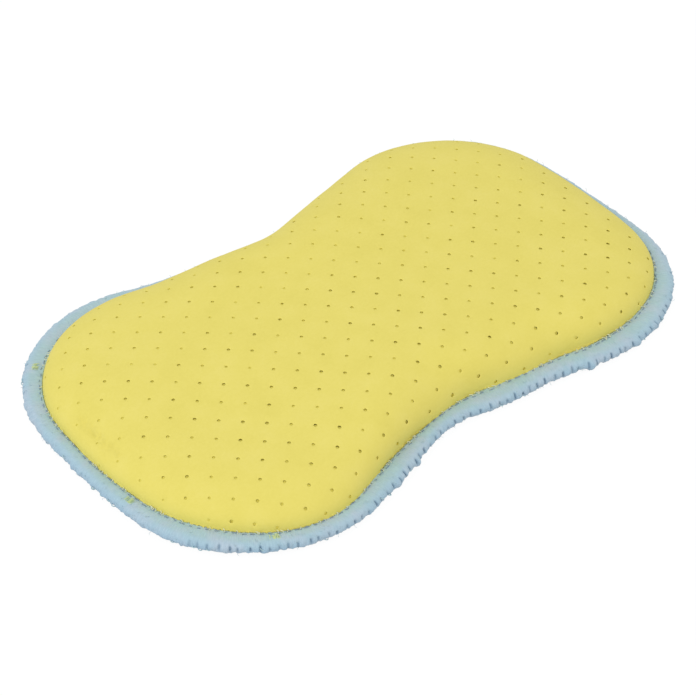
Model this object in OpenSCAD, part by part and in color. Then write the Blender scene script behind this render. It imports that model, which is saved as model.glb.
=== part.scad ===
// Peanut-shaped cleaning sponge: a crowned foam pad between a perforated
// synthetic chamois cover and a plain back cover, whose edges are bound
// together by one overlock seam in thick textured yarn.
// Lengths are in millimetres, and the pad lies on its flat back at z = 0.

/* [Outline] */
// Length over the bound edge
pad_length = 200; // [175:1:235]
// Width over the two lobes
lobe_width = 118; // [112:1:128]
// How far each side draws in at the waist
waist_depth = 9; // [3:0.5:16]
// Radius of the four lobe corners
lobe_radius = 43; // [38:1:50]
// Radius of the two bowed ends
end_radius = 175; // [130:5:260]

/* [Crown] */
// Height of the pad over its flat back
pad_height = 17.3; // [13:0.1:24]
// How much lower the crown is at the ends of the lobes than in the middle
end_sag = 3.3; // [0:0.1:5]
// How far in from the edge the shoulder of the crown levels off
shoulder_in = 26; // [18:1:34]
// How square the shoulder is, where 2 is an ellipse
shoulder_power = 2.5; // [2:0.1:4]

/* [Cloth] */
// Thickness of the perforated chamois on top
chamois_t = 1; // [0.6:0.1:1.6]
// Thickness of the cloth on the back
back_t = 1; // [0.6:0.1:1.6]
// Clear space between the foam and each cover
foam_gap = 0.15; // [0.05:0.05:0.4]

/* [Perforations] */
// Distance from hole to hole along a row
hole_pitch = 9.7; // [7:0.1:14]
// Distance from one staggered row to the next
row_pitch = 4.8; // [3.6:0.05:7]
// Diameter of a hole
hole_d = 0.9; // [0.6:0.1:1.6]
// How far the pattern is shifted along the pad
hole_shift = 0.5; // [-4:0.1:4]
// How far the pattern is shifted across the pad
row_shift = 1.1; // [-2:0.1:2]
// Shortest way from the middle of a hole to the needle line
hole_margin = 1.8; // [1.2:0.1:5]

/* [Overlock edge] */
// Distance from the outer edge in to the needle line
needle_in = 5.4; // [4.6:0.1:7.5]
// Height of the bound edge
edge_height = 4.4; // [4:0.1:6.5]
// Thickness of the yarn that wraps the edge
yarn_t = 1.1; // [0.8:0.1:1.5]
// Distance from stitch to stitch
stitch_pitch = 2.95; // [2.4:0.05:4]
// Depth of the groove between two stitches
stitch_groove = 0.5; // [0.2:0.05:0.7]
// How far the binding stays clear of the surface under the pad
edge_lift = 0.8; // [0.2:0.1:1.2]

/* [Hidden] */

chamois_yellow = [0.90, 0.85, 0.46];
back_yellow = [0.88, 0.83, 0.47];
foam_cream = [0.93, 0.91, 0.80];
yarn_blue = [0.67, 0.78, 0.83];

// The outline is made of arcs that run into each other: an end arc, two
// lobe arcs and a waist arc on each side, around these centres.
lobe_y = lobe_width / 2 - lobe_radius;
end_x = pad_length / 2 - end_radius;
lobe_x = end_x + sqrt(pow(end_radius - lobe_radius, 2) - pow(lobe_y, 2));
waist_radius = pow(lobe_x, 2) / (2 * waist_depth) - lobe_radius + waist_depth / 2;
waist_y = lobe_width / 2 - waist_depth + waist_radius;

// Half the angle of an end arc and of a waist arc, and a lobe arc's angle.
end_angle = atan2(lobe_y, lobe_x - end_x);
waist_angle = atan2(lobe_x, waist_y - lobe_y);
lobe_angle = 90 + waist_angle - end_angle;

// Points along the outline, by the distance walked round it from the middle
// of an end, each with the angle of its outward direction.
end_length = end_radius * end_angle * PI / 180;
lobe_length = lobe_radius * lobe_angle * PI / 180;
waist_length = waist_radius * waist_angle * PI / 180;
quarter_length = end_length + lobe_length + waist_length;
outline_length = 4 * quarter_length;
function on_arc(cx, cy, r, a) = [cx + r * cos(a), cy + r * sin(a), a];
function quarter_point(u) =
    u <= end_length ? on_arc(end_x, 0, end_radius, u / end_radius * 180 / PI)
    : u <= end_length + lobe_length
        ? on_arc(lobe_x, lobe_y, lobe_radius,
            end_angle + (u - end_length) / lobe_radius * 180 / PI)
    : let (a = 90 + (quarter_length - u) / waist_radius * 180 / PI)
        [-waist_radius * cos(a), waist_y - waist_radius * sin(a), a];
function outline_point(u) =
    let (quarter = floor(u / quarter_length), v = u - quarter * quarter_length,
        p = quarter_point(quarter % 2 == 0 ? v : quarter_length - v))
    quarter == 0 ? p
    : quarter == 1 ? [-p.x, p.y, 180 - p.z]
    : quarter == 2 ? [-p.x, -p.y, 180 + p.z]
    : [p.x, -p.y, -p.z];

// The two covers lie on each other in the seam, back cover below, and the
// binding has the same thickness of yarn above them as below.
seam_bottom = edge_lift + (edge_height - edge_lift - chamois_t - back_t) / 2;
seam_mid = seam_bottom + back_t;
seam_top = seam_mid + chamois_t;

// The crown rises from the needle line over a rounded shoulder. Each of its
// points is an inset from the edge, a height, and the share of the sag that
// it takes, which is none at the seam and all of it where the crown is level.
shoulder_steps = 6;
function crown_share(a) = pow(sin(a), 2 / shoulder_power);
function crown_point(a) = [
    needle_in + (shoulder_in - needle_in) * (1 - pow(cos(a), 2 / shoulder_power)),
    seam_top + (pad_height - seam_top) * crown_share(a),
    crown_share(a)];
crown_line = [for (k = [0:shoulder_steps]) crown_point(90 * k / shoulder_steps)];

// The same line moved inwards by a depth, square to the surface.
function unit(v) = v / norm(v);
function line_dir(k) = k == 0 ? [0, 1, 0]
    : k == shoulder_steps ? [1, 0, 0]
    : unit([for (i = [0, 1]) crown_line[k + 1][i] - crown_line[k - 1][i]]);
function crown_inner(depth) = [for (k = [0:shoulder_steps])
    [crown_line[k].x + depth * line_dir(k).y,
     crown_line[k].y - depth * line_dir(k).x, crown_line[k].z]];
function reversed(line) = [for (k = [len(line) - 1:-1:0]) line[k]];

// How much lower the crown is at a place, worked out from its height at the
// end of the level part.
level_reach = pad_length / 2 - shoulder_in;
function sag(x, y) = end_sag * (x * x + y * y) / pow(level_reach, 2);

// Sections of the three flat pieces, from the rim of the level middle on top,
// out to the edge, and back to the rim of the middle below.
foam_side = needle_in + chamois_t + foam_gap;
foam_floor = back_t + foam_gap;
back_rise = 4;
top_section = concat(
    reversed(crown_line), [[yarn_t, seam_top, 0], [yarn_t, seam_mid, 0],
        [needle_in + chamois_t, seam_mid, 0]],
    crown_inner(chamois_t));
foam_section = concat(
    reversed(crown_inner(chamois_t + foam_gap)),
    [[foam_side, seam_mid + foam_gap, 0], [foam_side + back_rise, foam_floor, 0]]);
back_section = [
    [foam_side + back_rise, back_t, 0], [foam_side, seam_mid, 0], [yarn_t, seam_mid, 0],
    [yarn_t, seam_bottom, 0], [needle_in, seam_bottom, 0], [needle_in + back_rise, 0, 0]];

// A section carried round the outline, closed above and below by strips that
// run straight across the pad.
outline_steps = 76;
module padded_solid(section) {
    rings = len(section);
    points = [for (p = section, k = [0:outline_steps - 1])
        let (o = outline_point(k * outline_length / outline_steps),
            x = o.x - p.x * cos(o.z), y = o.y - p.x * sin(o.z))
        [x, y, p.y - p.z * sag(x, y)]];
    walls = [for (ring = [0:rings - 2], k = [0:outline_steps - 1])
        let (next_k = (k + 1) % outline_steps,
            a = ring * outline_steps + k, b = ring * outline_steps + next_k,
            c = a + outline_steps, d = b + outline_steps)
        each [[a, b, d], [a, d, c]]];
    last = (rings - 1) * outline_steps;
    half = outline_steps / 2;
    caps = [for (k = [0:half - 1])
        let (a = k, b = k + 1, c = outline_steps - k - 1, d = (outline_steps - k) % outline_steps)
        each k == 0 ? [[a, c, b], [last + a, last + b, last + c]]
        : k == half - 1 ? [[a, d, b], [last + a, last + b, last + d]]
        : [[a, d, c], [a, c, b], [last + a, last + c, last + d], [last + a, last + b, last + c]]];
    polyhedron(points, concat(walls, caps));
}

// Inset of a point from the outline, and the direction towards the edge, for
// a point in the quarter with positive x and y.
function by_end(x, y) = x > lobe_x && atan2(y, x - end_x) <= end_angle;
function by_waist(x, y) = atan2(x, waist_y - y) <= waist_angle;
function edge_inset(x, y) =
    by_end(x, y) ? end_radius - norm([x - end_x, y])
    : by_waist(x, y) ? norm([x, waist_y - y]) - waist_radius
    : lobe_radius - norm([x - lobe_x, y - lobe_y]);
function to_edge(x, y) =
    by_end(x, y) ? atan2(y, x - end_x)
    : by_waist(x, y) ? atan2(waist_y - y, -x)
    : atan2(y - lobe_y, x - lobe_x);

// The chamois is punched flat and then drawn over the foam, so a hole past
// the level middle moves out by less than the length of cloth beyond it.
function cloth_length(k) = k >= shoulder_steps ? 0
    : cloth_length(k + 1) + norm([for (i = [0, 1]) crown_line[k + 1][i] - crown_line[k][i]]);
drawn_inset = [for (k = [shoulder_steps:-1:0]) [cloth_length(k), crown_line[k].x]];
drawn_height = [for (k = [shoulder_steps:-1:0]) [cloth_length(k), crown_line[k].y]];
drawn_share = [for (k = [shoulder_steps:-1:0]) [cloth_length(k), crown_line[k].z]];
slope_span = 1;
punch_reach = 3 * chamois_t;

module perforation(x, y) {
    flat_inset = edge_inset(x, y);
    beyond = max(0, shoulder_in - flat_inset);
    if (beyond < cloth_length(0) - hole_margin) {
        angle = to_edge(x, y);
        inset = beyond > 0 ? lookup(beyond, drawn_inset) : flat_inset;
        hole_x = x + (flat_inset - inset) * cos(angle);
        hole_y = y + (flat_inset - inset) * sin(angle);
        drop = lookup(beyond, drawn_height) - lookup(beyond + slope_span, drawn_height);
        translate([hole_x, hole_y,
                lookup(beyond, drawn_height) - lookup(beyond, drawn_share) * sag(hole_x, hole_y)])
            rotate([0, asin(min(1, drop / slope_span)), angle])
                cylinder(h = punch_reach, d = hole_d, center = true, $fn = 6);
    }
}

// Rows run along the pad, and every second row is shifted by half a pitch.
module perforations() {
    rows = ceil(lobe_width / 2 / row_pitch) + 1;
    columns = ceil(pad_length / 2 / hole_pitch) + 1;
    for (row = [-rows:rows], column = [-columns:columns]) {
        x = hole_shift + (column + (row % 2 == 0 ? 0 : 0.5)) * hole_pitch;
        y = row_shift + row * row_pitch;
        mirror([x < 0 ? 1 : 0, 0, 0]) mirror([0, y < 0 ? 1 : 0, 0])
            perforation(abs(x), abs(y));
    }
}

// The binding's section runs from the needle line below, round the edge to
// the needle line on top, then round the slot that the covers' edges fill.
// Its wrap lies deeper by a dip in the groove between two stitches.
stitches = 4 * round(quarter_length / stitch_pitch);
edge_mid = (edge_lift + edge_height) / 2;
edge_half = (edge_height - edge_lift) / 2;
wrap_reach = yarn_t + edge_half / 2;
wrap_steps = 4;
function wrap_point(a, dip) =
    [wrap_reach - (wrap_reach - dip) * cos(a), edge_mid + (edge_half - dip) * sin(a)];
function binding_section(dip) = concat(
    [[needle_in, seam_bottom]],
    [for (k = [0:wrap_steps]) wrap_point(-90 + 180 * k / wrap_steps, dip)],
    [[needle_in, seam_top], [yarn_t, seam_top], [yarn_t, seam_bottom]]);

module back_cover() {
    color(back_yellow) padded_solid(back_section);
}

module foam_core() {
    color(foam_cream) padded_solid(foam_section);
}

module top_cover() {
    color(chamois_yellow) difference() {
        padded_solid(top_section);
        perforations();
    }
}

// Every stitch is a ridge of yarn with a groove on each side.
module edge_overlock() {
    rings = 2 * stitches;
    sides = len(binding_section(0));
    points = [for (ring = [0:rings - 1])
        let (o = outline_point(ring * outline_length / rings))
        for (q = binding_section(ring % 2 == 0 ? stitch_groove : 0))
            [o.x - q.x * cos(o.z), o.y - q.x * sin(o.z), q.y]];
    faces = [for (ring = [0:rings - 1], k = [0:sides - 1])
        let (next_ring = (ring + 1) % rings, next_k = (k + 1) % sides,
            a = ring * sides + k, b = ring * sides + next_k,
            c = next_ring * sides + next_k, d = next_ring * sides + k)
        each [[a, b, c], [a, c, d]]];
    color(yarn_blue) polyhedron(points, faces);
}

back_cover();
foam_core();
top_cover();
edge_overlock();
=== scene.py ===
import bisect
import functools
import math
import random

import bmesh
import bpy
from mathutils import Matrix, Vector, geometry, noise


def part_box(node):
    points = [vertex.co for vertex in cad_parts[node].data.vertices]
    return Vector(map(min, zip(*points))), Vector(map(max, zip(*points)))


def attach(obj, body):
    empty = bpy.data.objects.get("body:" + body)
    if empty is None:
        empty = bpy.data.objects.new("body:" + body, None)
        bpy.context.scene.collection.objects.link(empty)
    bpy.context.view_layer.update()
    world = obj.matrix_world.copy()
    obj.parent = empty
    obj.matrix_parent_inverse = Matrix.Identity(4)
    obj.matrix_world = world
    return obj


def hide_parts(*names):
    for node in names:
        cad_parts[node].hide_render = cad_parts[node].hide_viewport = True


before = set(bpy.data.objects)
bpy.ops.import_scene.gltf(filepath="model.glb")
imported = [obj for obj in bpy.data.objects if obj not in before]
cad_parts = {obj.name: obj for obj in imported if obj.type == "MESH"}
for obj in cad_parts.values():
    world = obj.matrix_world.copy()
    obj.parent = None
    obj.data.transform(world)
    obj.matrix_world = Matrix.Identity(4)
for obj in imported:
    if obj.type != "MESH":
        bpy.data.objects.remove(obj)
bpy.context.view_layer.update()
mm = 0.001


# Foam core
# A slab of open-cell polyurethane foam, die-cut to the peanut outline and
# pressed by its cover into a low crown. It sets the form that the cloth
# follows, and only shows at the bottom of the punched holes.
edge_low, edge_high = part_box("edge_overlock")
pad_length = (edge_high.x - edge_low.x) / mm
lobe_width = (edge_high.y - edge_low.y) / mm
waist_depth = 9
lobe_radius = 43
end_radius = 175
pad_height = 17.3
end_sag = 3.3
shoulder_in = 26
shoulder_power = 2.5
sag_reach = pad_length / 2 - shoulder_in
even_reach = 60
needle_in = 5.4
cloth_t = 1.0
seam_bottom = 1.6
seam_mid = seam_bottom + cloth_t
seam_top = seam_mid + cloth_t
foam_gap = 0.15
foam_in = needle_in + cloth_t + foam_gap
foam_cell = 1.6
foam_pore = 0.55
rim_t = 0.3
rim_reach = 0.1
back_rise = 4
sheet_margin = 8
foam_colour = "#E6DA64"

lobe_y = lobe_width / 2 - lobe_radius
end_x = pad_length / 2 - end_radius
lobe_x = end_x + math.sqrt((end_radius - lobe_radius) ** 2 - lobe_y ** 2)
waist_radius = lobe_x ** 2 / (2 * waist_depth) - lobe_radius + waist_depth / 2
waist_y = lobe_width / 2 - waist_depth + waist_radius
end_angle = math.atan2(lobe_y, lobe_x - end_x)
waist_angle = math.atan2(lobe_x, waist_y - lobe_y)
end_length = end_radius * end_angle
lobe_length = lobe_radius * (math.pi / 2 + waist_angle - end_angle)
quarter_length = end_length + lobe_length + waist_radius * waist_angle

# The sewn edge wanders a little from the pattern, and the needle line wanders
# from the edge: for each number of waves round the pad, how far it lies out.
# The stuffing is uneven too: rise_waves tells how much higher it lies out
# there, and it is even within even_reach of the middle.
edge_waves = {0: (-0.2, 0.0), 1: (-0.1, -0.05), 2: (-0.1, -0.3), 3: (0.6, -0.15), 4: (-0.3, -0.35),
              5: (-0.05, 0.0), 6: (0.15, -0.45), 7: (-0.45, -0.25), 8: (-0.55, 0.45)}
needle_waves = {0: (0.1, 0.0), 1: (0.55, 0.7), 2: (0.2, 0.7), 3: (0.15, 0.25), 4: (0.4, -0.25),
                5: (0.2, -0.25), 6: (0.6, -0.15), 7: (0.25, 0.3), 8: (0.2, -0.25), 9: (-0.25, 0.0),
                10: (0.0, 0.3)}
rise_waves = {0: (0.3, 0.0), 1: (0.35, -0.15), 2: (-0.7, 0.25), 3: (-0.3, 0.3), 4: (0.45, -0.35)}


def wander(waves, x, y):
    """The sum of a table's waves at a place, by its angle seen from the middle of the pad."""
    turn = math.atan2(y, x)
    return sum(c * math.cos(n * turn) + s * math.sin(n * turn) for n, (c, s) in waves.items())


def needle_shift(x, y, inset):
    """How far the wandering needle line takes a place at an inset out with it."""
    share = (inset / needle_in) ** 2
    if inset > needle_in:
        share = max(0, (shoulder_in - inset) / (shoulder_in - needle_in)) ** 3
    return share * wander(needle_waves, x, y)


def outline_place(walk):
    """The pattern's outline after a walk from the middle of an end, and its outward angle."""
    quarter, u = divmod(walk % (4 * quarter_length), quarter_length)
    if quarter in (1, 3):
        u = quarter_length - u
    if u <= end_length:
        angle = u / end_radius
        x = end_x + end_radius * math.cos(angle)
        y = end_radius * math.sin(angle)
    elif u <= end_length + lobe_length:
        angle = end_angle + (u - end_length) / lobe_radius
        x = lobe_x + lobe_radius * math.cos(angle)
        y = lobe_y + lobe_radius * math.sin(angle)
    else:
        angle = math.pi / 2 + (quarter_length - u) / waist_radius
        x = -waist_radius * math.cos(angle)
        y = waist_y - waist_radius * math.sin(angle)
    if quarter in (1, 2):
        x, angle = -x, math.pi - angle
    if quarter in (2, 3):
        y, angle = -y, -angle
    return x, y, angle


def inset_place(x, y):
    """How far a point lies inside the sewn edge, and its way out to it."""
    right, far = abs(x), abs(y)
    if right > lobe_x and math.atan2(far, right - end_x) <= end_angle:
        inset = end_radius - math.hypot(right - end_x, far)
        angle = math.atan2(far, right - end_x)
    elif math.atan2(right, waist_y - far) <= waist_angle:
        inset = math.hypot(right, waist_y - far) - waist_radius
        angle = math.atan2(waist_y - far, -right)
    else:
        inset = lobe_radius - math.hypot(right - lobe_x, far - lobe_y)
        angle = math.atan2(far - lobe_y, right - lobe_x)
    way_x = math.cos(angle) if x >= 0 else -math.cos(angle)
    way_y = math.sin(angle) if y >= 0 else -math.sin(angle)
    return inset + wander(edge_waves, x, y), Vector((way_x, way_y, 0))


def crown_rise(x, y):
    """How far the cloth rises over its seam: the pad is highest in the middle and sags to the ends."""
    uneven = wander(rise_waves, x, y) * min(1, math.hypot(x, y) / even_reach) ** 2
    return pad_height - seam_top - end_sag * (x * x + y * y) / sag_reach ** 2 + uneven


def crown_height(x, y, inset):
    """Height of the cloth over the table, with a rounded shoulder from the needle line up."""
    level = min(1, max(0, (inset - needle_in) / (shoulder_in - needle_in)))
    return seam_top + (1 - (1 - level) ** shoulder_power) ** (1 / shoulder_power) * crown_rise(x, y)


def cut_sheet(cell_x, cell_y, edge_in, shift=(0, 0)):
    """A flat grid of cells, trimmed to the inset that edge_in gives for a place, an inset and a way out."""
    columns = 2 * math.ceil((pad_length / 2 + sheet_margin) / cell_x)
    rows = 2 * math.ceil((lobe_width / 2 + sheet_margin) / cell_y)
    bm = bmesh.new()
    place = Matrix.Translation((shift[0], shift[1], 0)) @ Matrix.Diagonal(
        (columns * cell_x / 2, rows * cell_y / 2, 1, 1))
    bmesh.ops.create_grid(bm, x_segments=columns, y_segments=rows, size=1, matrix=place)
    beyond = []
    for face in bm.faces:
        middle = face.calc_center_median()
        inset, out = inset_place(middle.x, middle.y)
        if inset < edge_in(middle, inset, out):
            beyond.append(face)
    bmesh.ops.delete(bm, geom=beyond, context="FACES")
    for v in bm.verts:
        if v.is_boundary:
            inset, out = inset_place(v.co.x, v.co.y)
            v.co += out * (inset - edge_in(v.co, inset, out))
    return bm


def linear(colour):
    """An sRGB hex colour as the linear values that a socket takes."""
    parts = [int(colour[i:i + 2], 16) / 255 for i in (1, 3, 5)]
    return [c / 12.92 if c <= 0.04045 else ((c + 0.055) / 1.055) ** 2.4 for c in parts] + [1]


def add_node(tree, kind, inputs=None, links=None, **settings):
    """Adds a node with its settings, its inputs' values and the links that feed it."""
    node = tree.nodes.new(kind)
    for name, value in settings.items():
        setattr(node, name, value)
    for socket, value in (inputs or {}).items():
        node.inputs[socket].default_value = value
    for socket, source in (links or {}).items():
        tree.links.new(source, node.inputs[socket])
    return node


def new_material(name):
    """A material with an empty node tree."""
    material = bpy.data.materials.new(name)
    material.use_nodes = True
    material.node_tree.nodes.clear()
    return material, material.node_tree


def add_piece(name, bm, slot, nodes, *materials):
    """Makes a mesh in millimetres a smooth object that rides on the pad and replaces CAD nodes."""
    bmesh.ops.scale(bm, vec=(mm, mm, mm), verts=bm.verts)
    mesh = bpy.data.meshes.new(name)
    for face in bm.faces:
        face.smooth = True
    bm.to_mesh(mesh)
    bm.free()
    for material in materials:
        mesh.materials.append(material)
    piece = bpy.data.objects.new(name, mesh)
    bpy.context.scene.collection.objects.link(piece)
    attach(piece, "root")
    if nodes:
        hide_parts(*nodes)
    return piece


# Open-cell polyurethane: cells of about half a millimetre, dull, and dark in
# the shade under the cloth.
foam_material, tree = new_material("polyurethane_foam")
place = add_node(tree, "ShaderNodeTexCoord")
cells = add_node(tree, "ShaderNodeTexVoronoi", {"Scale": 1 / (foam_pore * mm)},
                 {"Vector": place.outputs["Object"]}, feature="DISTANCE_TO_EDGE")
pores = add_node(tree, "ShaderNodeBump", {"Strength": 0.8, "Distance": 0.3 * mm},
                 {"Height": cells.outputs["Distance"]})
surface = add_node(tree, "ShaderNodeBsdfPrincipled",
                   {"Base Color": linear(foam_colour), "Roughness": 0.95},
                   {"Normal": pores.outputs["Normal"]})
add_node(tree, "ShaderNodeOutputMaterial", None, {"Surface": surface.outputs["BSDF"]})

bm = cut_sheet(foam_cell, foam_cell, lambda *place: foam_in)
top = bmesh.ops.extrude_face_region(bm, geom=bm.faces[:])["geom"]
crown_verts = {v for v in top if isinstance(v, bmesh.types.BMVert)}
for v in bm.verts:
    inset, out = inset_place(v.co.x, v.co.y)
    if v in crown_verts:
        v.co.z = crown_height(v.co.x, v.co.y, inset - cloth_t - foam_gap) - cloth_t - foam_gap
        if inset < foam_in + rim_reach:
            v.co.z = max(v.co.z, seam_mid + foam_gap)
    else:
        near_rim = max(0, 1 - (inset - foam_in) / back_rise)
        v.co.z = cloth_t + foam_gap + (seam_mid - cloth_t - rim_t) * near_rim
    v.co += out * needle_shift(v.co.x, v.co.y, inset)
bmesh.ops.recalc_face_normals(bm, faces=bm.faces)
foam = add_piece("foam_slab", bm, "foam", ["foam_core"], foam_material)


# Back cover
# A plain sheet of the same synthetic chamois, which closes the pad below.
# It lies flat, and rises round the foam's rim to the seam, where it is sewn.
back_cell = 1.9
flange_in = 1.6
cloud_size = 9
tuft_size = 0.9
nap_relief = 0.12
chamois_colour = "#E7DA6E"
chamois_pale = "#EADD75"
chamois_deep = "#E3D669"


def chamois(name, colour, pale, deep):
    """Needle-punched viscose and polyester, dipped and napped: matt, with a soft short pile."""
    material, tree = new_material(name)
    place = add_node(tree, "ShaderNodeTexCoord")
    clouds = add_node(tree, "ShaderNodeTexNoise", {"Scale": 1 / (cloud_size * mm), "Detail": 3.0},
                      {"Vector": place.outputs["Object"]})
    tufts = add_node(tree, "ShaderNodeTexNoise",
                     {"Scale": 1 / (tuft_size * mm), "Detail": 4.0, "Roughness": 0.6},
                     {"Vector": place.outputs["Object"]})
    tones = add_node(tree, "ShaderNodeMix", {"Factor": 0.45},
                     {2: clouds.outputs["Fac"], 3: tufts.outputs["Fac"]})
    ramp = add_node(tree, "ShaderNodeValToRGB", None, {"Fac": tones.outputs[0]})
    ramp.color_ramp.elements[0].position = 0.3
    ramp.color_ramp.elements[0].color = linear(deep)
    ramp.color_ramp.elements[1].position = 0.7
    ramp.color_ramp.elements[1].color = linear(pale)
    ramp.color_ramp.elements.new(0.5).color = linear(colour)
    nap = add_node(tree, "ShaderNodeBump", {"Strength": 0.2, "Distance": nap_relief * mm},
                   {"Height": tufts.outputs["Fac"]})
    surface = add_node(tree, "ShaderNodeBsdfPrincipled",
                       {"Roughness": 0.92, "IOR": 1.47, "Specular IOR Level": 0.25,
                        "Sheen Weight": 0.07, "Sheen Roughness": 0.6},
                       {"Base Color": ramp.outputs["Color"], "Normal": nap.outputs["Normal"]})
    add_node(tree, "ShaderNodeOutputMaterial", None, {"Surface": surface.outputs["BSDF"]})
    return material


def cut_size(bm):
    """Length, width and area of a sheet that still lies flat, in metres."""
    xs = [v.co.x for v in bm.verts]
    ys = [v.co.y for v in bm.verts]
    area = sum(face.calc_area() for face in bm.faces)
    return (max(xs) - min(xs)) * mm, (max(ys) - min(ys)) * mm, area * mm * mm


chamois_material = chamois("synthetic_chamois", chamois_colour, chamois_pale, chamois_deep)

bm = cut_sheet(back_cell, back_cell, lambda *place: flange_in)
back_length, back_width, back_area = cut_size(bm)
for v in bm.verts:
    inset, out = inset_place(v.co.x, v.co.y)
    rise = min(1, max(0, (needle_in + back_rise - inset) / back_rise))
    v.co.z = seam_bottom * rise * rise * (3 - 2 * rise)
    v.co += out * needle_shift(v.co.x, v.co.y, inset)
bmesh.ops.reverse_faces(bm, faces=bm.faces)
back_cloth = add_piece("back_cloth", bm, "back_cloth", ["back_cover"], chamois_material)
thickness = back_cloth.modifiers.new("thickness", "SOLIDIFY")
thickness.thickness = cloth_t * mm
thickness.offset = -1


# Perforated top cover
# Synthetic chamois punched with rows of pinholes, every second row shifted by
# half a pitch. It is drawn over the foam while the edge is sewn, so the holes
# near the edge sit closer together, and the cloth dimples round each of them.
hole_pitch = 9.7
row_pitch = 4.8
hole_shift = 0.5
row_shift = 1.1
dimple_d = 1.5
dimple_drop = 0.05
dimple_ring = 0.2
punch_d = 0.93
punch_spread = (0.88, 1.1)
punch_drop = 0.15
hole_margin = 1.4
hole_ends = (-98, 90)
cells_per_pitch = 10
cells_per_row = 5
shoulder_steps = 60
beside_in = 12
seam_grip = 0.3
# deeper yellow of the hole walls: partly soiled cut fibre, partly painted shade in the holes
cut_edge_dirt_and_shade_colour = "#DCD05C"

# The punches cut a little less to the right and to the far side, for each
# millimetre, and less and less beyond a place near the left end.
less_right = 0.0003
less_far = 0.0022
full_punch_x = -80
no_punch_x = -135

# How high the cloth's unevenness is, and how wide.
cloth_waves = ((0.16, 24), (0.10, 9), (0.035, 3.5))

# A lumpy crease inside the left end: its inset, its reach across the pad and
# the length it fades over, its half width, its depth and that of its lumps.
dent_inset = 9.2
dent_y = (-2, 17)
dent_fade = 4
dent_w = 1.3
dent_drop = 0.9
lump_drop = 1.6
lump_size = 1.7


@functools.cache
def shoulder(rise):
    """The shoulder's line down from the level: length of cloth along it, its inset and its slope."""
    line = [(0, shoulder_in, 0)]
    height = rise
    for step in range(1, shoulder_steps + 1):
        part = math.radians(90) * (1 - step / shoulder_steps)
        inset = shoulder_in - (shoulder_in - needle_in) * math.cos(part) ** (2 / shoulder_power)
        fall = height - rise * math.sin(part) ** (2 / shoulder_power)
        height -= fall
        run = line[-1][1] - inset
        line.append((line[-1][0] + math.hypot(run, fall), inset, math.atan2(fall, run)))
    return line


def shoulder_here(place, inset, out):
    """The shoulder's line at the pad's edge beside a place, by the crown's rise to a quarter millimetre."""
    beside = place + out * (inset - beside_in)
    return shoulder(round(4 * crown_rise(beside.x, beside.y)) / 4)


def drawn_inset(line, walked):
    """Inset and slope of a point of cloth, by its way past the level along the shoulder's line."""
    if walked <= 0:
        return shoulder_in - walked, 0
    if walked >= line[-1][0]:
        return needle_in + line[-1][0] - walked, 0
    after = bisect.bisect_right(line, (walked,))
    a, b = line[after - 1], line[after]
    t = (walked - a[0]) / (b[0] - a[0])
    return a[1] + (b[1] - a[1]) * t, a[2] + (b[2] - a[2]) * t


def cloth_in(place, inset, out):
    """Where the flat cloth is cut, to end under the binding once it is drawn over the shoulder."""
    return shoulder_in - shoulder_here(place, inset, out)[-1][0] - needle_in + flange_in


# The walls of the punched holes: the same felt, cut across, in a deeper yellow that is partly soiled fibre
# and partly painted shade down in the holes.
cut_edge_dirt_and_shade_material = chamois("cut_chamois_dirt_and_shade", cut_edge_dirt_and_shade_colour, cut_edge_dirt_and_shade_colour, cut_edge_dirt_and_shade_colour)

random.seed(7)
cell_x = hole_pitch / cells_per_pitch
cell_y = row_pitch / cells_per_row
bm = cut_sheet(cell_x, cell_y, cloth_in, (hole_shift, row_shift))
cloth_length, cloth_width, cloth_area = cut_size(bm)
centres = []
for v in bm.verts:
    row = round((v.co.y - row_shift) / cell_y)
    column = round((v.co.x - hole_shift) / cell_x)
    half = 0 if row % (2 * cells_per_row) == 0 else cells_per_pitch // 2
    if v.is_boundary or row % cells_per_row or (column - half) % cells_per_pitch:
        continue
    inset, out = inset_place(v.co.x, v.co.y)
    cloth_left = shoulder_here(v.co, inset, out)[-1][0] - (shoulder_in - inset)
    if cloth_left > hole_margin and hole_ends[0] < v.co.x < hole_ends[1]:
        centres.append(v)
cut = bmesh.ops.bevel(bm, geom=centres, offset=dimple_d / 2, offset_type="OFFSET", segments=2,
                      profile=0.25, affect="VERTICES", material=-1)["faces"]
holes = bmesh.ops.dissolve_faces(bm, faces=cut)["region"]
drops = {}
for face in holes:
    middle = face.calc_center_median()
    for v in face.verts:
        v.co = middle + (v.co - middle).normalized() * dimple_d / 2
        drops[v] = dimple_drop
bmesh.ops.inset_individual(bm, faces=holes, thickness=dimple_ring)
rims = []
for face in holes:
    middle = face.calc_center_median()
    open_d = punch_d * (1 - less_right * middle.x - less_far * middle.y) * random.uniform(*punch_spread)
    open_d *= min(1, (middle.x - no_punch_x) / (full_punch_x - no_punch_x))
    rims.append((face.verts[:], open_d))
    for v in face.verts:
        v.co = middle + (v.co - middle).normalized() * open_d / 2
        drops[v] = punch_drop
bmesh.ops.delete(bm, geom=holes, context="FACES_ONLY")
for v in bm.verts:
    inset, out = inset_place(v.co.x, v.co.y)
    new_inset, lean = drawn_inset(shoulder_here(v.co, inset, out), shoulder_in - inset)
    v.co += out * (inset - new_inset)
    v.co.z = crown_height(v.co.x, v.co.y, new_inset)
    at = v.co
    relief = sum(height * noise.noise(at / width) for height, width in cloth_waves)
    if at.x < 0:
        dented = max(0, min(2 * dent_fade, at.y - dent_y[0] + dent_fade, dent_y[1] + dent_fade - at.y))
        lumps = dent_drop + lump_drop * noise.noise(at / lump_size)
        relief -= lumps * dented / (2 * dent_fade) * math.exp(-((new_inset - dent_inset) / dent_w) ** 2)
    relief -= drops.get(v, 0)
    if new_inset > needle_in + seam_grip:
        v.co += (out * math.sin(lean) + Vector((0, 0, math.cos(lean)))) * relief
    v.co += out * needle_shift(v.co.x, v.co.y, new_inset)
for edge in bm.edges:
    if edge.is_boundary:
        edge.smooth = False

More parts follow.
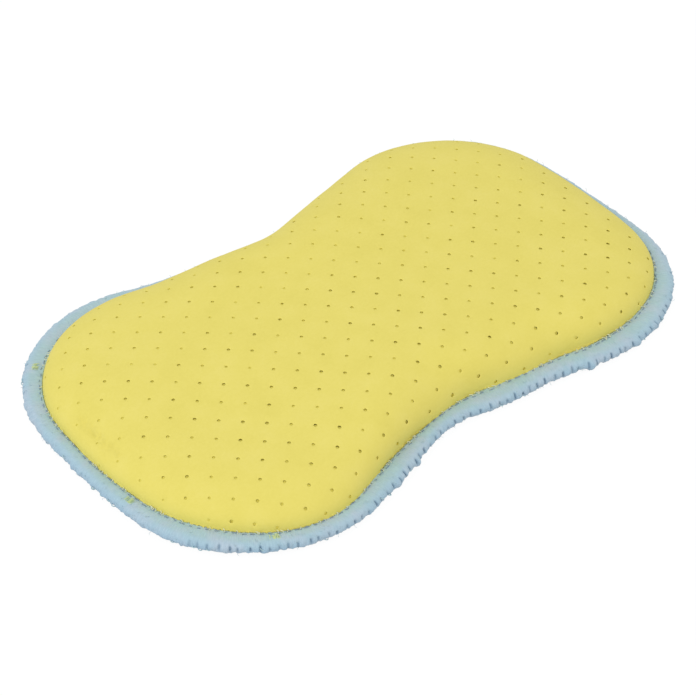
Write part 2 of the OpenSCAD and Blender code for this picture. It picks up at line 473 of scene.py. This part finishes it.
# The pressed foam swells a little way up into each hole, less far into a wide one.
foam_drop = 0.14
wide_hole = 0.8
swell_height = 0.9
swell_foot = 0.2
swell_top = 0.02
swells = bmesh.new()
swells.from_mesh(foam.data)
for rim, open_d in rims:
    down = foam_drop + max(0, open_d - wide_hole)
    middle = sum((v.co for v in rim), Vector()) / len(rim)
    up = geometry.normal([v.co for v in rim])
    up = up if up.z > 0 else -up
    place = Matrix.Translation((middle - up * (down + swell_height / 2)) * mm)
    place @= up.to_track_quat("Z", "Y").to_matrix().to_4x4()
    bmesh.ops.create_cone(swells, cap_ends=True, segments=8, radius1=(open_d / 2 + swell_foot) * mm,
                          radius2=(open_d / 2 + swell_top) * mm, depth=swell_height * mm, matrix=place)
swells.to_mesh(foam.data)
swells.free()
top_cloth = add_piece("top_cloth", bm, "chamois", ["top_cover"], chamois_material, cut_edge_dirt_and_shade_material)
thickness = top_cloth.modifiers.new("thickness", "SOLIDIFY")
thickness.thickness = cloth_t * mm
thickness.offset = -1
# the hole walls take the deeper yellow, partly painted shade
thickness.material_offset_rim = 1


# Overlock binding
# Two looper threads of texturised polyester, wrapped round both covers' cut
# edges by an overlock machine. The yarn fluffs out to a smooth band on top,
# and its loops catch on each other along the side, with gaps between them.
edge_lift = 0.8
edge_height = 4.4
yarn_t = 1.1
stitch_pitch = 2.95
stitches = 4 * round(quarter_length / stitch_pitch)
ring_phases = (0, 0.05, 0.1, 0.16, 0.24, 0.34, 0.45, 0.55, 0.66, 0.76, 0.84, 0.9, 0.95)
top_steps = 9
round_steps = 16
under_steps = 4
wrap_reach = yarn_t + (edge_height - edge_lift) / 4
edge_mid = (edge_height + edge_lift) / 2
edge_half = (edge_height - edge_lift) / 2
lip_rise = 0.35
groove_in = 0.7
groove_drop = 0.10
slot_drop = 0.55
slot_w = 0.34
lip_wander = 0.3
table_gap = 0.05
yarn_top = "#B1D0D6"
# darker blue of the band's outer side: painted shade where the band faces out and down
yarn_side_shade = "#A6C5DB"
yarn_pale = "#BDCDDC"
# slate blue: painted shade in the stitches' slots and under the lower edge, and the darker streaks between
# filaments
yarn_shade_and_streak = "#64839C"

# Loops have pulled out of the lower edge, each over tuft_turn degrees: the
# angle seen from the middle of the pad, and how far it stands out.
tuft_turn = 0.8
tufts = {-113.1: 1.0, -120.6: 0.8, -52.2: 0.9, -42.7: 0.6, -37.6: 0.6}


def wrap_place(step):
    """Inset and height on the wrapped yarn, from the needle line on top to the one below."""
    if step <= top_steps:
        t = step / top_steps
        return needle_in + (wrap_reach - needle_in) * t, \
            seam_top + lip_rise + (edge_height - seam_top - lip_rise) * math.sin(math.pi / 2 * t)
    if step <= top_steps + round_steps:
        a = math.pi * (0.5 - (step - top_steps) / round_steps)
        return wrap_reach * (1 - math.cos(a)), edge_mid + edge_half * math.sin(a)
    t = (step - top_steps - round_steps) / under_steps
    return wrap_reach + (needle_in - wrap_reach) * t, \
        edge_lift + (seam_bottom - edge_lift) * math.sin(math.pi / 2 * t) ** 2


def smooth_step(a, b, t):
    """Rises smoothly from 0 at a to 1 at b."""
    t = min(1, max(0, (t - a) / (b - a)))
    return t * t * (3 - 2 * t)


random.seed(11)
wrap_count = top_steps + round_steps + under_steps
wrap_line = [wrap_place(step) for step in range(wrap_count + 1)]
wrap_line += [(yarn_t, seam_bottom), (yarn_t, seam_top)]
wrap_out = []
for k in range(wrap_count + 1):
    a, b = wrap_line[max(k - 1, 0)], wrap_line[min(k + 1, wrap_count)]
    length = math.hypot(b[0] - a[0], b[1] - a[1])
    wrap_out.append(((a[1] - b[1]) / length, (a[0] - b[0]) / length))
stitch_shift = [random.uniform(-0.17, 0.17) for _ in range(stitches)]
stitch_depth = [random.uniform(0.5, 1.05) for _ in range(stitches)]
stitch_start = [random.uniform(-1.0, 2.0) for _ in range(stitches)]
stitch_end = [random.uniform(-1.5, 1.0) for _ in range(stitches)]
stitch_bulge = [random.uniform(-0.20, 0.28) for _ in range(stitches)]

# The yarn closes over the stitches' gaps round the left end. Along the far
# side, between these angles, the edge is rolled a little down and in.
closed_end = -91
closed_fade = 5
roll_down = 0.5
roll_in = 0.6
roll_turns = (4, 18, 118, 136)
roll_reach = 4


def yarn_noise(along, step, waves, rows, layer):
    """Unevenness of the yarn, by its waves for each stitch and for each step round the edge."""
    return noise.noise(Vector((along * waves, step * rows, layer)))


def yarn_relief(along, step, x, y):
    """How far the yarn stands out of its wrap, and how much painted shade darkens it in the stitches' slots
    and along the lower edge, at a stitch count and step.
    """
    near = round(along)
    n = near % stitches
    d = (along - near - stitch_shift[n]) * stitch_pitch
    first = top_steps + 4.0 + stitch_start[n]
    last = top_steps + 10.0 + stitch_end[n]
    window = smooth_step(first - 1, first + 1, step) * (1 - smooth_step(last - 1, last + 1, step))
    # a slot's depth also sets how much painted shade darkens it
    slot = window * math.exp(-(d / slot_w) ** 2) * stitch_depth[n]
    slot *= 0.15 + 0.85 * smooth_step(closed_end - closed_fade, closed_end + closed_fade, x)
    low = smooth_step(top_steps + 3, top_steps + 8, step)
    low *= 1 - smooth_step(top_steps + 13, wrap_count, step)
    strands = 0.06 * yarn_noise(along, step, 3.2, 0.13, 5)
    strands += 0.05 * yarn_noise(along, step, 7.5, 0.2, 15)
    groove_step = top_steps * groove_in / (needle_in - wrap_reach)
    groove = groove_drop * math.exp(-(step - groove_step) ** 2)
    rounded = math.sin(math.pi * (along - math.floor(along))) ** 0.6
    ragged = 0.32 * yarn_noise(along, step, 2.3, 0.25, 25)
    ragged += 0.9 * max(0, yarn_noise(along, step, 1.3, 0.1, 35) - 0.25)
    ragged += 0.16 * yarn_noise(along, step, 5.7, 0.4, 55)
    turn = math.degrees(math.atan2(y, x))
    pulled = sum(out * math.exp(-((turn - at) / tuft_turn) ** 2) for at, out in tufts.items())
    bulge = stitch_bulge[math.floor(along) % stitches] * rounded
    # painted shade along the underside of the band's lower edge, carried with the slots' painted shade
    shade = 0.5 * smooth_step(top_steps + 10.8, top_steps + 12.4, step)
    return strands - groove - slot_drop * slot + low * (bulge + ragged + pulled), max(slot, shade)


def edge_point(walk, inset, height):
    """A point of the sewn edge, by the walk round it, its inset and its height, and its way out."""
    x, y, angle = outline_place(walk)
    out = Vector((math.cos(angle), math.sin(angle), 0))
    shift = wander(edge_waves, x, y) + needle_shift(x, y, inset)
    turn = math.degrees(math.atan2(y, x))
    rolled = smooth_step(*roll_turns[:2], turn) * (1 - smooth_step(*roll_turns[2:], turn))
    rolled *= max(0, 1 - inset / roll_reach)
    return Vector((x, y, height - roll_down * rolled)) - out * (inset - shift + roll_in * rolled), out


rings = stitches * len(ring_phases)
sides = len(wrap_line)
bm = bmesh.new()
bmesh.ops.create_grid(bm, x_segments=rings, y_segments=sides, size=1)
# painted shade for the yarn's colour: in the stitches' slots and along the underside of the lower edge
painted_shade_layer = bm.verts.layers.float.new("painted_shade")
wrap_layer = bm.verts.layers.float.new("wrap")
uv_layer = bm.loops.layers.uv.new("yarn")
walk_unit = 4 * quarter_length / stitches
uv_of = {}
for v in bm.verts:
    ring = round((v.co.x + 1) / 2 * rings)
    step = round((v.co.y + 1) / 2 * sides)
    phase = ring_phases[ring % len(ring_phases)]
    along = ring // len(ring_phases) + phase
    uv_of[v.index] = (along * stitch_pitch, step * 0.5)
    along %= stitches
    side = step % sides
    inset, height = wrap_line[side]
    if side <= wrap_count:
        relief, painted_shade = yarn_relief(along, side, *outline_place(along * walk_unit)[:2])
        lip = math.exp(-(side / 1.1) ** 2)
        inset -= wrap_out[side][0] * relief
        height += wrap_out[side][1] * relief
        height += lip_wander * lip * yarn_noise(along, 0, 2.9, 0, 45)
        v[painted_shade_layer] = painted_shade
        v[wrap_layer] = side / wrap_count
    v.co, out = edge_point(along * walk_unit, inset, height)
    fuzz = 0.10 * noise.noise(v.co / 2.6) + 0.06 * noise.noise(v.co / 0.9)
    if side <= wrap_count:
        v.co += (out * wrap_out[side][0] + Vector((0, 0, wrap_out[side][1]))) * fuzz
    v.co.z = max(v.co.z, table_gap)
for face in bm.faces:
    for loop in face.loops:
        loop[uv_layer].uv = uv_of[loop.vert.index]
bmesh.ops.remove_doubles(bm, verts=bm.verts, dist=0.0001)
bmesh.ops.recalc_face_normals(bm, faces=bm.faces)


# Texturised polyester: fine crimped filaments that run across the band, with
# a silky sheen, greenish blue on top and a darker blue down the outer side, painted shade where the band
# faces out and down.
filament_w = 0.3
filament_length = 2.5
yarn_patch = 6
yarn_material, tree = new_material("texturised_polyester")
place = add_node(tree, "ShaderNodeTexCoord")
wrap = add_node(tree, "ShaderNodeAttribute", attribute_name="wrap")
painted_shade = add_node(tree, "ShaderNodeAttribute", attribute_name="painted_shade")
patches = add_node(tree, "ShaderNodeTexNoise", {"Scale": 1 / (yarn_patch * mm), "Detail": 3.0},
                   {"Vector": place.outputs["Object"]})
stretch = add_node(tree, "ShaderNodeMapping", {"Scale": (1 / filament_w, 1 / filament_length, 1)},
                   {"Vector": place.outputs["UV"]})
filaments = add_node(tree, "ShaderNodeTexNoise", {"Scale": 1.0, "Detail": 3.0, "Roughness": 0.6},
                     {"Vector": stretch.outputs["Vector"]})
# towards the outer side the yarn blends to a darker blue, painted shade where the band faces out and down
lower = add_node(tree, "ShaderNodeMapRange", {"From Min": 0.25, "From Max": 0.6},
                 {"Value": wrap.outputs["Fac"]})
blend = add_node(tree, "ShaderNodeMix", {6: linear(yarn_top), 7: linear(yarn_side_shade)},
                 {0: lower.outputs["Result"]}, data_type="RGBA")
patch_amount = add_node(tree, "ShaderNodeMapRange", {"From Min": 0.42, "From Max": 0.66, "To Max": 0.7},
                        {"Value": patches.outputs["Fac"]})
patch = add_node(tree, "ShaderNodeMix", {7: linear(yarn_pale)},
                 {0: patch_amount.outputs["Result"], 6: blend.outputs[2]}, data_type="RGBA")
streak_amount = add_node(tree, "ShaderNodeMapRange",
                         {"From Min": 0.3, "From Max": 0.7, "To Min": 0.25, "To Max": 0.0},
                         {"Value": filaments.outputs["Fac"]})
streak = add_node(tree, "ShaderNodeMix", {7: linear(yarn_shade_and_streak)},
                  {0: streak_amount.outputs["Result"], 6: patch.outputs[2]}, data_type="RGBA")
# the yarn's colour darkened towards slate by the painted shade in the slots and under the lower edge
dark = add_node(tree, "ShaderNodeMix", {7: linear(yarn_shade_and_streak)},
                {0: painted_shade.outputs["Fac"], 6: streak.outputs[2]}, data_type="RGBA")
crimp = add_node(tree, "ShaderNodeBump", {"Strength": 0.5, "Distance": 0.15 * mm},
                 {"Height": filaments.outputs["Fac"]})
surface = add_node(tree, "ShaderNodeBsdfPrincipled",
                   {"Roughness": 0.6, "IOR": 1.57, "Specular IOR Level": 0.3,
                    "Sheen Weight": 0.2, "Sheen Roughness": 0.5},
                   {"Base Color": dark.outputs[2], "Normal": crimp.outputs["Normal"]})
add_node(tree, "ShaderNodeOutputMaterial", None, {"Surface": surface.outputs["BSDF"]})
add_piece("overlock_binding", bm, "edge_yarn", ["edge_overlock"], yarn_material)


# Needle thread
# Spun polyester sewing thread that locks the binding down. It runs along the
# needle line in short stitches, one for each bite of the machine.
thread_d = 0.24
thread_lift = 0.2
thread_bow = 0.1
# dark slate: partly the thread's own colour, partly painted shade of the pits along the needle line
thread_and_shade_colour = "#7D90A2"


def add_strands(name, strands, thickness, material):
    """Thin threads, each a row of points in millimetres, as one curve piece."""
    curve = bpy.data.curves.new(name, "CURVE")
    curve.dimensions = "3D"
    curve.bevel_depth = thickness / 2 * mm
    curve.bevel_resolution = 1
    curve.use_fill_caps = True
    for points in strands:
        spline = curve.splines.new("POLY")
        spline.points.add(len(points) - 1)
        for point, at in zip(spline.points, points):
            point.co = (at.x * mm, at.y * mm, at.z * mm, 1)
    curve.materials.append(material)
    piece = bpy.data.objects.new(name, curve)
    bpy.context.scene.collection.objects.link(piece)
    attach(piece, "root")


thread_material, tree = new_material("spun_polyester_thread")
place = add_node(tree, "ShaderNodeTexCoord")
twist = add_node(tree, "ShaderNodeTexNoise", {"Scale": 1 / (0.4 * mm), "Detail": 2.0},
                 {"Vector": place.outputs["Object"]})
plies = add_node(tree, "ShaderNodeBump", {"Strength": 0.4, "Distance": 0.05 * mm},
                 {"Height": twist.outputs["Fac"]})
surface = add_node(tree, "ShaderNodeBsdfPrincipled",
                   {"Base Color": linear(thread_and_shade_colour), "Roughness": 0.7, "Sheen Weight": 0.15},
                   {"Normal": plies.outputs["Normal"]})
add_node(tree, "ShaderNodeOutputMaterial", None, {"Surface": surface.outputs["BSDF"]})

stitch_rows = []
for n in range(stitches):
    start, end = random.uniform(0.08, 0.32), random.uniform(0.55, 0.88)
    aside = random.uniform(-0.2, 0.2)
    lean = random.uniform(-0.2, 0.2)
    row = []
    for part in (0, 0.15, 0.5, 0.85, 1):
        height = seam_top + lip_rise + thread_lift + thread_bow * math.sin(math.pi * part)
        walk = (n + start + (end - start) * part) * walk_unit
        row.append(edge_point(walk, needle_in - groove_in + aside + lean * part, height)[0])
    stitch_rows.append(row)
add_strands("needle_thread", stitch_rows, thread_d, thread_material)


# Loose fibres
# Single filaments and small pulled loops of the same yarn that stand out of
# the binding, most of them along its outer edge, and pale flecks of fibre
# caught along the needle line, as on any cut-and-sewn pad.
hair_count = 220
hair_d = 0.09
fleck_count = 170
fleck_d = 0.2
loop_count = 52
loop_d = 0.3
loop_width = 1.3
random.seed(23)
hairs = []
for _ in range(hair_count):
    walk = random.uniform(0, 4 * quarter_length)
    step = random.uniform(top_steps - 3, top_steps + round_steps - 3)
    inset, height = wrap_place(step)
    lean = random.uniform(-0.5, 0.5)
    length = random.uniform(0.6, 1.5)
    rise = (edge_mid - height) / edge_half
    row = []
    for t in (0, 0.3, 0.6, 1):
        reach = length * t
        row.append(edge_point(walk + reach * lean * 2 + 0.2 * math.sin(9 * t), inset - reach * 0.8 + 0.2,
                              max(0.12, height - rise * reach * 0.4))[0])
    hairs.append(row)
flecks = []
for _ in range(fleck_count):
    walk = random.uniform(0, 4 * quarter_length)
    lean = random.uniform(-0.9, 0.9)
    rise = random.uniform(0.2, 0.6)
    row = []
    for t in (0, 0.4, 0.7, 1):
        inset = needle_in - 0.2 - 0.7 * (1 - t) ** 2
        height = seam_top + 0.62 + rise * math.sin(2 * t)
        row.append(edge_point(walk + lean * t + 0.25 * math.sin(5 * t), inset, height)[0])
    flecks.append(row)
add_strands("loose_hairs", hairs, hair_d, yarn_material)
loops = []
for _ in range(loop_count):
    walk = random.uniform(0, 4 * quarter_length)
    step = random.uniform(top_steps + 5, top_steps + 12)
    inset, height = wrap_place(step)
    reach = random.uniform(0.4, 0.9)
    row = []
    for t in (0, 0.2, 0.4, 0.6, 0.8, 1):
        row.append(edge_point(walk + loop_width * (t - 0.5), inset + 0.25 - reach * math.sin(math.pi * t),
                              max(0.25, height - 0.5 * t))[0])
    loops.append(row)
add_strands("pulled_loops", loops, loop_d, yarn_material)

# Wisps of the chamois caught in the yarn, by their angle seen from the middle.
wisp_turns = (150.4, -171.5, -144.1)
wisp_fibres = 14
wisp_d = 0.2
wisp_material = chamois("chamois_wisp", "#C6D79E", "#D3DEA6", "#BAD098")


def turn_at(walk):
    """The angle of the outline's point after a walk, seen from the middle of the pad."""
    x, y, angle = outline_place(walk)
    return math.degrees(math.atan2(y, x))


wisps = []
for wisp_turn in wisp_turns:
    walks = [n * walk_unit / 4 for n in range(4 * stitches)]
    wisp_walk = min(walks, key=lambda walk: abs(turn_at(walk) - wisp_turn))
    for _ in range(wisp_fibres):
        walk = wisp_walk + random.gauss(0, 0.6)
        start, end = random.uniform(3.0, 4.4), random.uniform(1.2, 2.4)
        row = []
        for t in (0, 0.3, 0.7, 1):
            inset = start + (end - start) * t
            height = seam_top + 0.95 - 0.16 * max(0, 3.2 - inset) ** 2 + 0.1 * math.sin(6 * t)
            row.append(edge_point(walk + 0.25 * math.sin(4 * t), inset, height)[0])
        wisps.append(row)
add_strands("chamois_wisps", wisps, wisp_d, wisp_material)
fleck_material = chamois("chamois_fleck", "#DEE2C6", "#ECECD6", "#D3DCBC")
add_strands("edge_flecks", flecks, fleck_d, fleck_material)


# Floor, light and camera
# A plain white table under even light from all round, with one large soft
# light on the left and a weak warm one at the front right.
floor_material, tree = new_material("white_table")
rays = add_node(tree, "ShaderNodeLightPath")
seen = add_node(tree, "ShaderNodeMath", None,
                {0: rays.outputs["Is Camera Ray"], 1: rays.outputs["Is Glossy Ray"]}, operation="MAXIMUM")
glow = add_node(tree, "ShaderNodeEmission", {"Color": (1, 1, 1, 1), "Strength": 0.95})
shade = add_node(tree, "ShaderNodeBsdfDiffuse", {"Color": (0.07, 0.07, 0.07, 1)})
shown = add_node(tree, "ShaderNodeAddShader", None, {0: glow.outputs[0], 1: shade.outputs[0]})
plain = add_node(tree, "ShaderNodeBsdfDiffuse", {"Color": linear("#D8D8D6")})
either = add_node(tree, "ShaderNodeMixShader", None,
                  {0: seen.outputs[0], 1: plain.outputs[0], 2: shown.outputs[0]})
add_node(tree, "ShaderNodeOutputMaterial", None, {"Surface": either.outputs[0]})

table_size = 5
table_drop = 0.1
bm = bmesh.new()
bmesh.ops.create_grid(bm, x_segments=4, y_segments=4, size=table_size / 2,
                      matrix=Matrix.Translation((0, 0, -table_drop * mm)))
mesh = bpy.data.meshes.new("table")
bm.to_mesh(mesh)
bm.free()
mesh.materials.append(floor_material)
table = bpy.data.objects.new("table", mesh)
bpy.context.scene.collection.objects.link(table)

world = bpy.data.worlds.new("white_room")
world.use_nodes = True
bpy.context.scene.world = world
tree = world.node_tree
tree.nodes.clear()
rays = add_node(tree, "ShaderNodeLightPath")
seen = add_node(tree, "ShaderNodeMath", None,
                {0: rays.outputs["Is Camera Ray"], 1: rays.outputs["Is Glossy Ray"]}, operation="MAXIMUM")
seen = add_node(tree, "ShaderNodeMath", None,
                {0: seen.outputs[0], 1: rays.outputs["Is Transmission Ray"]}, operation="MAXIMUM")
strength = add_node(tree, "ShaderNodeMapRange", {"To Min": 0.82, "To Max": 1.0}, {"Value": seen.outputs[0]})
air = add_node(tree, "ShaderNodeBackground", {"Color": (1, 1, 1, 1)},
               {"Strength": strength.outputs["Result"]})
add_node(tree, "ShaderNodeOutputWorld", None, {"Surface": air.outputs["Background"]})

light_size = 1.4
for name, energy, tint, at in (("softbox", 8.0, "#FFFFFF", Vector((-1.3, -0.15, 1.1))),
                               ("fill", 1.7, "#FFF0D0", Vector((0.6, -1.3, 0.6)))):
    light = bpy.data.lights.new(name, "AREA")
    light.shape = "SQUARE"
    light.size = light_size
    light.energy = energy
    light.color = linear(tint)[:3]
    lamp = bpy.data.objects.new(name, light)
    lamp.matrix_world = Matrix.Translation(at) @ at.to_track_quat("Z", "Y").to_matrix().to_4x4()
    bpy.context.scene.collection.objects.link(lamp)

camera_turn = math.radians(-42.77)
camera_rise = math.radians(42.75)
camera_roll = math.radians(2.32)
camera_aim = Vector((-2.43, -0.69, -2.34))
camera_distance = 886.1
camera_data = bpy.data.cameras.new("camera")
camera_data.sensor_width = 36
camera_data.lens = 153.85
camera_data.clip_start = 0.05
camera = bpy.data.objects.new("camera", camera_data)
turn = Matrix.Rotation(camera_turn, 4, "Z") @ Matrix.Rotation(math.radians(90) - camera_rise, 4, "X")
away = turn.col[2].xyz * camera_distance
camera.matrix_world = (Matrix.Translation((camera_aim + away) * mm) @ turn
                       @ Matrix.Rotation(camera_roll, 4, "Z"))
bpy.context.scene.collection.objects.link(camera)
bpy.context.scene.camera = camera
bpy.context.scene.view_settings.view_transform = "Standard"

bpy.context.view_layer.update()
